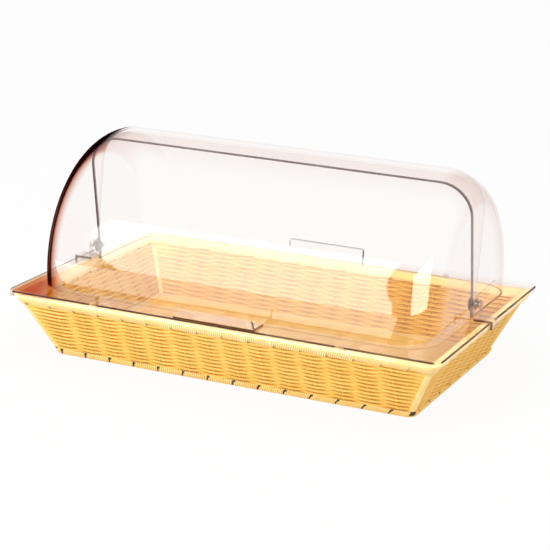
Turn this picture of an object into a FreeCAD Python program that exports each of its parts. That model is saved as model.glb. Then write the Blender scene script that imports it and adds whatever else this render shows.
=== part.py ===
import FreeCAD, Part
import Sketcher
import os

from FreeCAD import Vector

# Countertop bread display bin: a flared woven basket, a clear frame that rests on its rim,
# and a clear roll-top cover in two halves that turn on pins at the middle of the short sides.
# Frame of the part: +X along the length, the front faces -Y, +Z up, zero under the middle.

doc = FreeCAD.newDocument("bread_display_bin")

# Driving sizes in millimetres, degrees and counts
SIZES = [
    ("overall_length", 570),
    ("overall_width", 370),
    ("frame_top_height", 88),
    ("frame_thick", 3),
    ("frame_wall", 2.5),
    ("frame_drop", 7),
    ("frame_corner", 14),
    ("frame_edge_round", 1.2),
    ("flange_width", 40),
    ("opening_corner", 40),
    ("rim_clearance", 0.75),
    ("pad_height", 3),
    ("pad_radius", 4),
    ("pad_spread", 324),
    ("wall_flare", 40),
    ("basket_corner", 12),
    ("rim_band", 14),
    ("base_band", 9),
    ("wrap_wall", 2),
    ("wrap_round", 1.2),
    ("weave_thick", 7.6),
    ("weave_clearance", 0.2),
    ("course_bulge", 0.45),
    ("course_count", 26),
    ("wire_radius", 1.8),
    ("stake_radius", 1.2),
    ("stake_clearance", 0.1),
    ("stake_pitch", 34),
    ("corner_wrap_radius", 4.6),
    ("seat_gap", 0.3),
    ("floor_thick", 4),
    ("floor_height", 3),
    ("floor_skin", 0.3),
    ("floor_rib_pitch", 5.8),
    ("floor_groove_top", 3),
    ("floor_groove_bottom", 1),
    ("floor_groove_depth", 1),
    ("cover_end_setback", 23),
    ("cover_side_setback", 25),
    ("cover_corner", 48),
    ("shell_wall", 2.5),
    ("shell_gap", 3.5),
    ("shell_end_gap", 1),
    ("axis_height", 19),
    ("front_past_top", 7),
    ("rear_past_top", 10),
    ("ear_radius", 10),
    ("pin_radius", 3),
    ("pin_clearance", 0.08),
    ("head_radius", 5.5),
    ("head_thick", 2.5),
    ("head_round", 1),
    ("cap_thick", 3.2),
    ("cap_cover", 1),
    ("washer_radius", 6.5),
    ("washer_slack", 0.2),
    ("post_gap", 2),
    ("post_thick", 3),
    ("bracket_width", 20),
    ("hook_drop", 8),
    ("hook_gap", 0.15),
    ("grip_length", 107),
    ("grip_thick", 2.5),
    ("grip_corner", 4),
    ("front_grip_height", 15.5),
    ("front_grip_setback", 1.5),
    ("front_grip_lean", 8.5),
    ("rear_grip_height", 20),
    ("rear_grip_stand", 3),
    ("overrun", 20),
]

# Places worked out from the driving sizes
PLACES = [
    ("rim_top", "sizes.frame_top_height - sizes.frame_thick - sizes.pad_height"),
    ("rim_half_length", "sizes.overall_length / 2 - sizes.frame_wall - sizes.rim_clearance"),
    ("rim_half_width", "sizes.overall_width / 2 - sizes.frame_wall - sizes.rim_clearance"),
    ("base_half_length", "rim_half_length - sizes.wall_flare"),
    ("base_half_width", "rim_half_width - sizes.wall_flare"),
    ("slope", "sizes.wall_flare / rim_top"),
    ("rim_low", "rim_top - sizes.rim_band"),
    ("slot_width", "sizes.weave_thick + 2 * sizes.weave_clearance"),
    ("slot_middle", "sizes.wrap_wall + slot_width / 2"),
    ("wrap_depth", "2 * sizes.wrap_wall + slot_width"),
    ("rim_wire_height", "rim_top - sizes.wrap_wall - sizes.weave_clearance - sizes.wire_radius"),
    ("base_wire_height", "sizes.wrap_wall + sizes.weave_clearance + sizes.wire_radius"),
    ("weave_low", "base_wire_height + sizes.wire_radius + sizes.weave_clearance"),
    ("weave_high", "rim_wire_height - sizes.wire_radius - sizes.weave_clearance"),
    ("post_inset", "slot_middle + (sizes.basket_corner - slot_middle) * (1 - sqrt(2) / 2)"),
    ("panel_margin", "post_inset + sizes.corner_wrap_radius * sqrt(1 + 2 * slope ^ 2) + sizes.seat_gap"),
    ("floor_top", "sizes.floor_height + sizes.floor_thick"),
    ("floor_stake_foot", "sizes.floor_height + sizes.floor_skin + sizes.stake_clearance"),
    ("floor_stake_height", "floor_stake_foot + sizes.stake_radius"),
    ("frame_low", "sizes.frame_top_height - sizes.frame_drop"),
    ("axis_z", "sizes.frame_top_height + sizes.axis_height"),
    ("seat_z", "sizes.frame_top_height + sizes.seat_gap"),
    ("front_end", "sizes.overall_length / 2 - sizes.cover_end_setback"),
    ("front_radius", "sizes.overall_width / 2 - sizes.cover_side_setback"),
    ("front_inside", "front_radius - sizes.shell_wall"),
    ("rear_end", "front_end - sizes.shell_wall - sizes.shell_end_gap"),
    ("rear_radius", "front_inside - sizes.shell_gap"),
    ("rear_corner", "sizes.cover_corner - sizes.shell_wall - sizes.shell_gap"),
    ("rear_inside", "rear_end - sizes.shell_wall"),
    ("post_face", "front_end + sizes.post_gap"),
    ("post_back", "post_face + sizes.post_thick"),
    ("cap_face", "rear_inside - sizes.seat_gap"),
    ("pin_end", "cap_face - sizes.cap_thick + sizes.cap_cover"),
    ("reach", "front_radius + sizes.overrun"),
]


def fill(sheet, rows, lead):
    """One row per value: its name in the first column, the value itself in the second."""
    for row, (name, value) in enumerate(rows, 1):
        sheet.set("A%d" % row, name)
        sheet.set("B%d" % row, lead + str(value))
        sheet.setAlias("B%d" % row, name)
    doc.recompute()


sizes = doc.addObject("Spreadsheet::Sheet", "sizes")
fill(sizes, SIZES, "")
places = doc.addObject("Spreadsheet::Sheet", "places")
fill(places, PLACES, "=")


def at(expression):
    """The number that an expression on the two sheets gives."""
    result = sizes.evalExpression(expression)
    return float(getattr(result, "Value", result))


def s(name):
    return at("sizes." + name)


def p(name):
    return at("places." + name)


# Sketches and features

def new_body(label):
    body = doc.addObject("PartDesign::Body", label)
    body.Label = label
    return body


def new_sketch(body, role, lift=None, rise=None):
    """A sketch on one of the body's own planes, lifted off it or raised along its second axis."""
    plane = next(item for item in body.Origin.OriginFeatures if item.Role == role)
    sketch = body.newObject("Sketcher::SketchObject", "sketch")
    sketch.AttachmentSupport = [(plane, "")]
    sketch.MapMode = "FlatFace"
    if lift:
        sketch.setExpression("AttachmentOffset.Base.z", lift)
    if rise:
        sketch.setExpression("AttachmentOffset.Base.y", rise)
    return sketch


def bind(sketch, kind, geometry, point, expression):
    """Holds one coordinate of a point at what an expression gives."""
    index = sketch.addConstraint(Sketcher.Constraint(kind, -1, 1, geometry, point, at(expression)))
    if expression != "0":
        sketch.setExpression("Constraints[%d]" % index, expression)


def outline(sketch, stops):
    """A closed outline through its stops, each (x, y) or, at the end of an arc,
    (x, y, radius, centre x, centre y, turn), with turn 1 for anticlockwise."""
    spots = [Vector(at(stop[0]), at(stop[1]), 0) for stop in stops]
    ends = []
    for index, stop in enumerate(stops):
        start, end = spots[index - 1], spots[index]
        if len(stop) == 2:
            edge = sketch.addGeometry(Part.LineSegment(start, end))
            first, last = 1, 2
        else:
            centre = Vector(at(stop[3]), at(stop[4]), 0)
            circle = Part.Circle(centre, Vector(0, 0, 1), at(stop[2]))
            low, high = (start, end) if stop[5] == 1 else (end, start)
            arc = Part.ArcOfCircle(circle, circle.parameter(low), circle.parameter(high))
            edge = sketch.addGeometry(arc)
            first, last = (1, 2) if stop[5] == 1 else (2, 1)
            radius = sketch.addConstraint(Sketcher.Constraint("Radius", edge, at(stop[2])))
            sketch.setExpression("Constraints[%d]" % radius, stop[2])
        bind(sketch, "DistanceX", edge, last, stop[0])
        bind(sketch, "DistanceY", edge, last, stop[1])
        ends.append((edge, first, last))
    for index, (edge, first, last) in enumerate(ends):
        before, _, its_last = ends[index - 1]
        sketch.addConstraint(Sketcher.Constraint("Coincident", before, its_last, edge, first))


def rounded(sketch, half_x, half_y, radius):
    """A rectangle about the origin with round corners, begun at the middle of its right side."""
    half_x, half_y, radius = "(%s)" % half_x, "(%s)" % half_y, "(%s)" % radius
    stops = [(half_x, "0")]
    for sign_x, sign_y in ((1, 1), (-1, 1), (-1, -1), (1, -1)):
        side_x = ("%d * %s" % (sign_x, half_x), "%d * (%s - %s)" % (sign_y, half_y, radius))
        side_y = ("%d * (%s - %s)" % (sign_x, half_x, radius), "%d * %s" % (sign_y, half_y))
        centre = (side_y[0], side_x[1])
        first, last = (side_x, side_y) if sign_x == sign_y else (side_y, side_x)
        stops.append(first)
        stops.append(last + (radius,) + centre + (1,))
    outline(sketch, stops)


def disc(sketch, x, y, radius):
    """A circle at a place that two expressions give."""
    circle = Part.Circle(Vector(at(x), at(y), 0), Vector(0, 0, 1), at(radius))
    edge = sketch.addGeometry(circle)
    bind(sketch, "DistanceX", edge, 3, x)
    bind(sketch, "DistanceY", edge, 3, y)
    index = sketch.addConstraint(Sketcher.Constraint("Radius", edge, at(radius)))
    sketch.setExpression("Constraints[%d]" % index, radius)


def feature(body, kind, sketch, **settings):
    made = body.newObject("PartDesign::" + kind, kind.lower())
    made.Profile = sketch
    for name, value in settings.items():
        setattr(made, name, value)
    return made


def pad(body, sketch, length, **settings):
    made = feature(body, "Pad", sketch, **settings)
    made.setExpression("Length", length)
    return made


def pocket(body, sketch, length, **settings):
    made = feature(body, "Pocket", sketch, **settings)
    made.setExpression("Length", length)
    return made


def round_edges(body, wanted, radius):
    """Rounds the edges of the body's tip that a test picks."""
    doc.recompute()
    tip = body.Tip
    names = ["Edge%d" % n for n, edge in enumerate(tip.Shape.Edges, 1) if wanted(edge)]
    made = body.newObject("PartDesign::Fillet", "fillet")
    made.Base = (tip, names)
    made.setExpression("Radius", radius)
    return made


def level_edges(*heights):
    """Picks the edges that lie level at one of some heights."""
    def wanted(edge):
        box = edge.BoundBox
        return any(abs(box.ZMin - z) < TOUCH and abs(box.ZMax - z) < TOUCH for z in heights)

    return wanted


def solid_piece(label, shape):
    made = doc.addObject("Part::Feature", label)
    made.Label = label
    made.Shape = shape
    return made


# How near two places count as the same one
TOUCH = s("seat_gap") / 10

nodes = []


# Basket

def half_sizes(z, inset):
    """Half length and half width of the basket at a height, a stated way in from its face."""
    grow = "places.slope * (%s) - (%s)" % (z, inset)
    return "places.base_half_length + " + grow, "places.base_half_width + " + grow


def face_at(z, inset, half):
    """The same half size as a number."""
    return half + p("slope") * z - inset


def layer(body, z, inset):
    """One level outline of the flared basket."""
    sketch = new_sketch(body, "XY_Plane", lift=z)
    half_x, half_y = half_sizes(z, inset)
    rounded(sketch, half_x, half_y, "sizes.basket_corner - (%s) / 2" % inset)
    return sketch


def loft(body, kind, low, high, inset):
    first = layer(body, low, inset)
    made = feature(body, kind, first, Ruled=True)
    made.Sections = [layer(body, high, inset)]
    return made


def border(label, low, high, slot_low, slot_high, top):
    """A wrapped border: a flared ring with a slot that takes the wall and a wire."""
    body = new_body(label)
    loft(body, "AdditiveLoft", low, high, "0")
    loft(body, "SubtractiveLoft", low, high, "places.wrap_depth")
    round_edges(body, level_edges(at(top)), "sizes.wrap_round")
    keep = new_body(label + "_slot")
    loft(keep, "AdditiveLoft", slot_low, slot_high, "sizes.wrap_wall")
    loft(keep, "SubtractiveLoft", slot_low, slot_high, "sizes.wrap_wall + places.slot_width")
    cut = doc.addObject("Part::Cut", label + "_cut")
    cut.Base, cut.Tool = body, keep
    body.Label = label + "_blank"
    cut.Label = label
    nodes.append(cut)


def wire_ring(label, height):
    """A steel wire bent into the basket's outline."""
    body = new_body(label + "_path")
    half_x, half_y = half_sizes(height, "places.slot_middle")
    path = new_sketch(body, "XY_Plane", lift=height)
    rounded(path, half_x, half_y, "sizes.basket_corner - places.slot_middle / 2")
    section = new_sketch(body, "XZ_Plane")
    disc(section, half_x, height, "sizes.wire_radius")
    doc.recompute()
    spine = Part.Wire(Part.__sortEdges__(path.Shape.Edges))
    nodes.append(solid_piece(label, spine.makePipeShell([section.Shape.Wires[0]], True, False)))


def course_bar(half, span):
    """The section of a woven wall as stacked round courses, drawn out along the wall.
    The wall faces -Y and its courses bulge on both faces."""
    low, high, count = p("weave_low"), p("weave_high"), int(s("course_count"))
    run = Vector(0, -p("slope"), 1).normalize()
    out = Vector(0, -run.z, run.y)
    core = s("weave_thick") * run.z - 2 * s("course_bulge")
    middle = p("slot_middle")
    foot = Vector(0, -face_at(low, middle, half), low)
    head = Vector(0, -face_at(high, middle, half), high)
    length = (head - foot).Length
    rise = length / count
    edges = []
    for side in (1, -1):
        skin = out * (side * core / 2)
        crest = out * (side * (core / 2 + s("course_bulge")))
        for n in range(count):
            start = foot + run * (n * rise) + skin
            top = foot + run * ((n + 1) * rise) + skin
            mid = foot + run * ((n + 0.5) * rise) + crest
            edges.append(Part.Arc(start, mid, top).toShape())
    for spot in (foot, head):
        edges.append(Part.LineSegment(spot + out * (core / 2), spot - out * (core / 2)).toShape())
    wire = Part.Wire(Part.__sortEdges__(edges))
    bar = Part.Face(wire).extrude(Vector(2 * span, 0, 0))
    bar.translate(Vector(-span, 0, 0))
    return bar


def stake_places(half_along):
    """Where the stakes of a side stand along it: as many as fit between its corner posts."""
    count = 1 + int(2 * (half_along - p("panel_margin")) / s("stake_pitch"))
    return [(n - (count - 1) / 2) * s("stake_pitch") for n in range(count)]


def stake_rods(half_along, half_away, radius):
    """Upright stakes side by side in the middle of a wall that faces -Y."""
    low, high, middle = p("weave_low"), p("weave_high"), p("slot_middle")
    run = Vector(0, face_at(low, middle, half_away) - face_at(high, middle, half_away), high - low)
    rods = []
    for x in stake_places(half_along):
        foot = Vector(x, -face_at(low, middle, half_away), low)
        rods.append(Part.makeCylinder(radius, run.Length, foot, run))
    return rods


def trimmed_to_wall(rods):
    """Cuts slanted rods level at the wall's foot and head."""
    low, high = p("weave_low"), p("weave_high")
    span = s("overall_length")
    slab = Part.makeBox(2 * span, 2 * span, high - low, Vector(-span, -span, low))
    return [rod.common(slab) for rod in rods]


def wall_panel(half_along, half_away):
    """A woven wall between the two borders, with a channel for each stake."""
    low, high, margin = p("weave_low"), p("weave_high"), p("panel_margin")
    bar = course_bar(half_away, face_at(high, 0, half_along))
    corners = [
        Vector(-face_at(low, margin, half_along), 0, low),
        Vector(face_at(low, margin, half_along), 0, low),
        Vector(face_at(high, margin, half_along), 0, high),
        Vector(-face_at(high, margin, half_along), 0, high),
    ]
    trim = Part.Face(Part.makePolygon(corners + corners[:1])).extrude(Vector(0, -s("overall_width"), 0))
    channels = stake_rods(half_along, half_away, s("stake_radius") + s("stake_clearance"))
    return bar.common(trim).cut(Part.makeCompound(channels))


def build_walls():
    length, width = p("base_half_length"), p("base_half_width")
    sides = (
        ("front", 0, length, width),
        ("right", 90, width, length),
        ("rear", 180, length, width),
        ("left", 270, width, length),
    )
    for side, turn, half_along, half_away in sides:
        rods = trimmed_to_wall(stake_rods(half_along, half_away, s("stake_radius")))
        pieces = (
            (side + "_weave", wall_panel(half_along, half_away)),
            (side + "_stakes", Part.makeCompound(rods)),
        )
        for label, shape in pieces:
            made = solid_piece(label, shape)
            made.Placement = FreeCAD.Placement(Vector(), FreeCAD.Rotation(Vector(0, 0, 1), turn))
            nodes.append(made)


def corner_rods(low, high, radius):
    """A rod along each slanted corner of the basket, cut level at two heights."""
    inset, over = p("post_inset"), s("overrun")
    span = s("overall_length")
    slab = Part.makeBox(2 * span, 2 * span, high - low, Vector(-span, -span, low))
    rods = []
    for sign_x, sign_y in ((1, 1), (-1, 1), (-1, -1), (1, -1)):
        ends = []
        for z in (low - over, high + over):
            x = sign_x * face_at(z, inset, p("base_half_length"))
            y = sign_y * face_at(z, inset, p("base_half_width"))
            ends.append(Vector(x, y, z))
        run = ends[1] - ends[0]
        rods.append(Part.makeCylinder(radius, run.Length, ends[0], run).common(slab))
    return Part.makeCompound(rods)


def build_corners():
    wires = corner_rods(p("weave_low"), p("weave_high"), s("wire_radius"))
    nodes.append(solid_piece("corner_wires", wires))
    low = s("base_band") + s("seat_gap")
    high = p("rim_low") - s("seat_gap")
    outer = corner_rods(low, high, s("corner_wrap_radius"))
    bore = corner_rods(low, high, s("wire_radius") + s("weave_clearance"))
    nodes.append(solid_piece("corner_wraps", outer.cut(bore)))


def floor_rods(body, radius):
    """The outlines of the floor's stakes, side by side near its underside."""
    sketch = new_sketch(body, "XZ_Plane")
    for x in stake_places(p("base_half_length")):
        along = "%g * sizes.stake_pitch" % (x / s("stake_pitch"))
        disc(sketch, along, "places.floor_stake_height", radius)
    return sketch


def rib_floor(slab, half_x, half_y):
    """Leaves ribs along the floor's top, where its strands lie, by a row of grooves between them."""
    room = at("%s - sizes.floor_rib_pitch" % half_y)
    each_way = int(room / s("floor_rib_pitch"))
    first = "-%d * sizes.floor_rib_pitch" % each_way
    groove = new_sketch(slab, "YZ_Plane")
    bottom = "places.floor_top - sizes.floor_groove_depth"
    outline(groove, [
        (first + " - sizes.floor_groove_top / 2", "places.floor_top"),
        (first + " - sizes.floor_groove_bottom / 2", bottom),
        (first + " + sizes.floor_groove_bottom / 2", bottom),
        (first + " + sizes.floor_groove_top / 2", "places.floor_top"),
    ])
    cut = pocket(slab, groove, "2 * (%s)" % half_x, Midplane=True)
    doc.recompute()
    row = slab.newObject("PartDesign::LinearPattern", "grooves")
    row.Originals = [cut]
    axis = next(item for item in slab.Origin.OriginFeatures if item.Role == "Y_Axis")
    row.Direction = (axis, [""])
    row.Occurrences = 2 * each_way + 1
    row.setExpression("Length", "%d * sizes.floor_rib_pitch" % (2 * each_way))
    slab.Tip = row


def build_floor():
    """The woven floor, wedged in the tapered base border, and the stakes inside it."""
    half_x, half_y = half_sizes("sizes.floor_height", "places.wrap_depth + sizes.seat_gap")
    slab = new_body("floor_weave")
    outer = new_sketch(slab, "XY_Plane", lift="sizes.floor_height")
    rounded(outer, half_x, half_y, "sizes.basket_corner - places.wrap_depth / 2")
    pad(slab, outer, "sizes.floor_thick")
    channels = floor_rods(slab, "sizes.stake_radius + sizes.stake_clearance")
    pocket(slab, channels, "2 * (%s)" % half_y, Midplane=True)
    rib_floor(slab, half_x, half_y)
    stakes = new_body("floor_stakes")
    pad(stakes, floor_rods(stakes, "sizes.stake_radius"), "2 * (%s)" % half_y, Midplane=True)
    stakes.AllowCompound = True
    nodes.extend([slab, stakes])


# Cover frame and its pivots

def build_frame():
    """A flat flange round the cover's opening with a short wall down outside the basket's rim."""
    body = new_body("cover_frame")
    outer = new_sketch(body, "XY_Plane", lift="places.frame_low")
    rounded(outer, "sizes.overall_length / 2", "sizes.overall_width / 2", "sizes.frame_corner")
    pad(body, outer, "sizes.frame_drop")
    inner = new_sketch(body, "XY_Plane", lift="places.frame_low")
    rounded(inner, "sizes.overall_length / 2 - sizes.frame_wall",
            "sizes.overall_width / 2 - sizes.frame_wall", "sizes.frame_corner - sizes.frame_wall")
    pocket(body, inner, "sizes.frame_drop - sizes.frame_thick", Reversed=True)
    opening = new_sketch(body, "XY_Plane", lift="places.frame_low")
    rounded(opening, "sizes.overall_length / 2 - sizes.flange_width",
            "sizes.overall_width / 2 - sizes.flange_width", "sizes.opening_corner")
    pocket(body, opening, "sizes.frame_drop", Reversed=True)
    round_edges(body, level_edges(s("frame_top_height")), "sizes.frame_edge_round")
    nodes.append(body)


def build_pads():
    """Four round pads under the flange, which carry the frame on the basket's rim."""
    body = new_body("rest_pads")
    sketch = new_sketch(body, "XY_Plane", lift="places.rim_top")
    for sign_x in (1, -1):
        for sign_y in (1, -1):
            disc(sketch, "%d * sizes.pad_spread / 2" % sign_x,
                 "%d * (places.rim_half_width - places.wrap_depth / 2)" % sign_y, "sizes.pad_radius")
    pad(body, sketch, "sizes.pad_height")
    body.AllowCompound = True
    nodes.append(body)


def turned(body, side):
    """Puts a body made for the right side on its own side."""
    angle = 180 if side == "left" else 0
    body.Placement = FreeCAD.Placement(Vector(), FreeCAD.Rotation(Vector(0, 0, 1), angle))
    nodes.append(body)


def build_bracket(side):
    """A clear strip that hooks over the frame's edge and stands up beside the cover."""
    body = new_body("pivot_bracket_" + side)
    half = "sizes.bracket_width / 2"
    post = new_sketch(body, "YZ_Plane", lift="places.post_face")
    outline(post, [
        ("-(%s)" % half, "sizes.frame_top_height"),
        (half, "sizes.frame_top_height"),
        (half, "places.axis_z"),
        ("0", "places.axis_z + " + half, half, "0", "places.axis_z", 1),
        ("-(%s)" % half, "places.axis_z", half, "0", "places.axis_z", 1),
    ])
    disc(post, "0", "places.axis_z", "sizes.pin_radius + sizes.pin_clearance")
    pad(body, post, "sizes.post_thick")
    strip = new_sketch(body, "XZ_Plane")
    hook_in = "sizes.overall_length / 2 + sizes.hook_gap"
    hook_out = hook_in + " + sizes.post_thick"
    low = "sizes.frame_top_height - sizes.hook_drop"
    high = "sizes.frame_top_height + sizes.post_thick"
    outline(strip, [
        ("places.post_face", "sizes.frame_top_height"),
        (hook_in, "sizes.frame_top_height"),
        (hook_in, low),
        (hook_out, low),
        (hook_out, high),
        ("places.post_face", high),
    ])
    pad(body, strip, "sizes.bracket_width", Midplane=True)
    turned(body, side)


def turned_piece(label, side, stops):
    """A round piece on the pivot axis, turned from a half outline."""
    body = new_body(label + "_" + side)
    sketch = new_sketch(body, "XZ_Plane", rise="places.axis_z")
    outline(sketch, stops)
    made = feature(body, "Revolution", sketch)
    made.ReferenceAxis = (sketch, ["H_Axis"])
    made.Angle = 360
    turned(body, side)


def build_pivot(side):
    """The pin with its head outside, the washer beside the post and the cap inside the cover."""
    head = "places.post_back + sizes.head_thick"
    turned_piece("pivot_pin", side, [
        ("places.pin_end", "0"),
        (head, "0"),
        (head, "sizes.head_radius - sizes.head_round"),
        (head + " - sizes.head_round", "sizes.head_radius", "sizes.head_round",
         head + " - sizes.head_round", "sizes.head_radius - sizes.head_round", 1),
        ("places.post_back", "sizes.head_radius"),
        ("places.post_back", "sizes.pin_radius"),
        ("places.pin_end", "sizes.pin_radius"),
    ])
    bore = "sizes.pin_radius + sizes.pin_clearance"
    turned_piece("pivot_washer", side, [
        ("places.front_end + sizes.washer_slack", bore),
        ("places.post_face - sizes.washer_slack", bore),
        ("places.post_face - sizes.washer_slack", "sizes.washer_radius"),
        ("places.front_end + sizes.washer_slack", "sizes.washer_radius"),
    ])
    blind = "places.pin_end - sizes.pin_clearance"
    back = "places.cap_face - sizes.cap_thick"
    turned_piece("pivot_cap", side, [
        (back, "0"),
        (blind, "0"),
        (blind, bore),
        ("places.cap_face", bore),
        ("places.cap_face", "sizes.head_radius"),
        (back + " + sizes.head_round", "sizes.head_radius"),
        (back, "sizes.head_radius - sizes.head_round", "sizes.head_round",
         back + " + sizes.head_round", "sizes.head_radius - sizes.head_round", 1),
    ])


# Cover halves

def capsule(label, end, radius, corner):
    """A closed round-cornered cover turned about the pivot axis."""
    body = new_body(label)
    sketch = new_sketch(body, "XZ_Plane", rise="places.axis_z")
    wall = "sizes.shell_wall"
    inner_end, inner_radius = "%s - %s" % (end, wall), "%s - %s" % (radius, wall)
    inner_corner = "%s - %s" % (corner, wall)
    middle_x, middle_y = "(%s - %s)" % (end, corner), "(%s - %s)" % (radius, corner)
    outline(sketch, [
        ("-(%s)" % end, "0"),
        ("-(%s)" % inner_end, "0"),
        ("-(%s)" % inner_end, middle_y),
        ("-" + middle_x, inner_radius, inner_corner, "-" + middle_x, middle_y, -1),
        (middle_x, inner_radius),
        (inner_end, middle_y, inner_corner, middle_x, middle_y, -1),
        (inner_end, "0"),
        (end, "0"),
        (end, middle_y),
        (middle_x, radius, corner, middle_x, middle_y, 1),
        ("-" + middle_x, radius),
        ("-(%s)" % end, middle_y, corner, "-" + middle_x, middle_y, 1),
    ])
    made = feature(body, "Revolution", sketch)
    made.ReferenceAxis = (sketch, ["H_Axis"])
    made.Angle = 360
    return body


def sector(label, sign, past):
    """The side of the axis that one half covers, from the frame to just past the top,
    with a round ear about the pin and the pin's hole. Sign is -1 for the front."""
    body = new_body(label)
    sketch = new_sketch(body, "YZ_Plane")
    ear = "sizes.ear_radius"
    over = "places.reach"
    lean_y = "%d * sin(%s)" % (-sign, past)
    lean_z = "cos(%s)" % past
    outline(sketch, [
        ("%d * %s" % (sign, over), "places.seat_z"),
        ("0", "places.seat_z"),
        ("0", "places.axis_z - %s" % ear),
        ("%s * %s" % (ear, lean_y), "places.axis_z + %s * %s" % (ear, lean_z), ear,
         "0", "places.axis_z", -sign),
        ("%s * %s" % (over, lean_y), "places.axis_z + %s * %s" % (over, lean_z)),
        ("%d * %s" % (sign, over), "places.axis_z + %s * %s" % (over, lean_z)),
    ])
    disc(sketch, "0", "places.axis_z", "sizes.pin_radius + sizes.pin_clearance")
    pad(body, sketch, "2 * (places.front_end + sizes.overrun)", Midplane=True)
    return body


def build_half(label, end, radius, corner, sign, past):
    common = doc.addObject("Part::MultiCommon", label)
    common.Shapes = [capsule(label + "_round", end, radius, corner),
                     sector(label + "_sector", sign, past)]
    common.Label = label
    nodes.append(common)


def build_grip(label, stops, radius):
    """A bar bonded to the foot of one half, hollowed to the half's own curve."""
    body = new_body(label + "_bar")
    sketch = new_sketch(body, "YZ_Plane")
    outline(sketch, stops)
    pad(body, sketch, "sizes.grip_length", Midplane=True)
    top = max(at(stop[1]) for stop in stops)
    end = s("grip_length") / 2

    def upper_end(edge):
        box = edge.BoundBox
        return box.XLength < TOUCH and abs(box.ZMin - top) < TOUCH and abs(abs(box.XMin) - end) < TOUCH

    round_edges(body, upper_end, "sizes.grip_corner")
    hollow = doc.addObject("Part::Cylinder", label + "_hollow")
    hollow.setExpression("Radius", radius)
    hollow.setExpression("Height", "sizes.grip_length + 2 * sizes.overrun")
    hollow.Placement = FreeCAD.Placement(Vector(), FreeCAD.Rotation(Vector(0, 1, 0), 90))
    hollow.setExpression("Placement.Base.x", "-sizes.grip_length / 2 - sizes.overrun")
    hollow.setExpression("Placement.Base.z", "places.axis_z")
    cut = doc.addObject("Part::Cut", label)
    cut.Base, cut.Tool = body, hollow
    cut.Label = label
    nodes.append(cut)


def build_cover():
    build_half("front_shell", "places.front_end", "places.front_radius", "sizes.cover_corner",
               -1, "sizes.front_past_top")
    build_half("rear_shell", "places.rear_end", "places.rear_radius", "places.rear_corner",
               1, "sizes.rear_past_top")
    thick = "sizes.grip_thick"
    foot = "places.seat_z"
    ledge = "sizes.overall_width / 2 - sizes.front_grip_setback"
    top = "places.seat_z + sizes.front_grip_height"
    lean = "sizes.front_grip_lean * sizes.grip_thick / sizes.front_grip_height"
    build_grip("front_grip", [
        ("-places.front_inside", foot),
        ("-places.front_inside", "%s + %s" % (foot, thick)),
        ("-(%s + %s - %s)" % (ledge, lean, thick), "%s + %s" % (foot, thick)),
        ("-(%s + sizes.front_grip_lean - %s)" % (ledge, thick), top),
        ("-(%s + sizes.front_grip_lean)" % ledge, top),
        ("-(%s)" % ledge, foot),
    ], "places.front_radius")
    stand = "places.rear_radius + sizes.rear_grip_stand"
    inner = "places.rear_radius - sizes.overrun"
    tall = "places.seat_z + sizes.rear_grip_height"
    drop = "sizes.axis_height ^ 2 / (2 * (%s))" % stand
    build_grip("rear_grip", [
        (inner, foot),
        ("%s - %s" % (stand, drop), foot),
        (stand + " - " + drop + " / 4", "(%s + places.axis_z) / 2" % foot),
        (stand, "places.axis_z"),
        (stand, tall),
        (inner, tall),
    ], "places.rear_radius")


def build_all():
    border("rim_wrap", "places.rim_low", "places.rim_top", "places.rim_low - sizes.wrap_wall",
           "places.rim_top - sizes.wrap_wall", "places.rim_top")
    border("base_wrap", "0", "sizes.base_band", "sizes.wrap_wall",
           "sizes.base_band + sizes.wrap_wall", "sizes.base_band")
    wire_ring("rim_wire", "places.rim_wire_height")
    wire_ring("base_wire", "places.base_wire_height")
    build_walls()
    build_corners()
    build_floor()
    build_frame()
    build_pads()
    for side in ("left", "right"):
        build_bracket(side)
        build_pivot(side)
    build_cover()


build_all()
doc.recompute()

# Every object has to be whole before anything is written
faults = [item.Label for item in doc.Objects if "Invalid" in item.State or "Error" in item.State]
for node in nodes:
    if node.Shape.isNull() or not node.Shape.isValid():
        faults.append(node.Label)
if faults:
    raise RuntimeError("these objects failed: " + ", ".join(faults))

os.makedirs("parts", exist_ok=True)
for node in nodes:
    node.Shape.exportStep("parts/%s.step" % node.Label)
    box = node.Shape.BoundBox
    print("%-22s solids %2d volume %10.1f  x %.1f %.1f  y %.1f %.1f  z %.1f %.1f" % (
        node.Label, len(node.Shape.Solids), node.Shape.Volume,
        box.XMin, box.XMax, box.YMin, box.YMax, box.ZMin, box.ZMax))
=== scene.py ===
import math

import bmesh
import bpy
from mathutils import Matrix, Vector


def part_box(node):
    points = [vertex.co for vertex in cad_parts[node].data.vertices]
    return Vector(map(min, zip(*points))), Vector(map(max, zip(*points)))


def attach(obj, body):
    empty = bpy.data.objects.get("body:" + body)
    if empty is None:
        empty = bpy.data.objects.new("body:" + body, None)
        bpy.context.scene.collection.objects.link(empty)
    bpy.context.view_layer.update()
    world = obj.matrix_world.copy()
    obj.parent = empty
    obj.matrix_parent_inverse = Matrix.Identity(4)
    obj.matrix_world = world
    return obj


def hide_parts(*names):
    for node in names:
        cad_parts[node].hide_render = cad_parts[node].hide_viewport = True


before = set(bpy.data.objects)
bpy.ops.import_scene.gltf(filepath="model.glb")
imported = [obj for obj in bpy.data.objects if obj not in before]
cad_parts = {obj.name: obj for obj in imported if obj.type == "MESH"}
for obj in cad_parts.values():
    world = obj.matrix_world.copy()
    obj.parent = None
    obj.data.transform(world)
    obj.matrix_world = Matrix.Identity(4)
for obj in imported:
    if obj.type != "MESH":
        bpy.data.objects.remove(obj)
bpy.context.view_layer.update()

MM = 0.001

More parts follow.
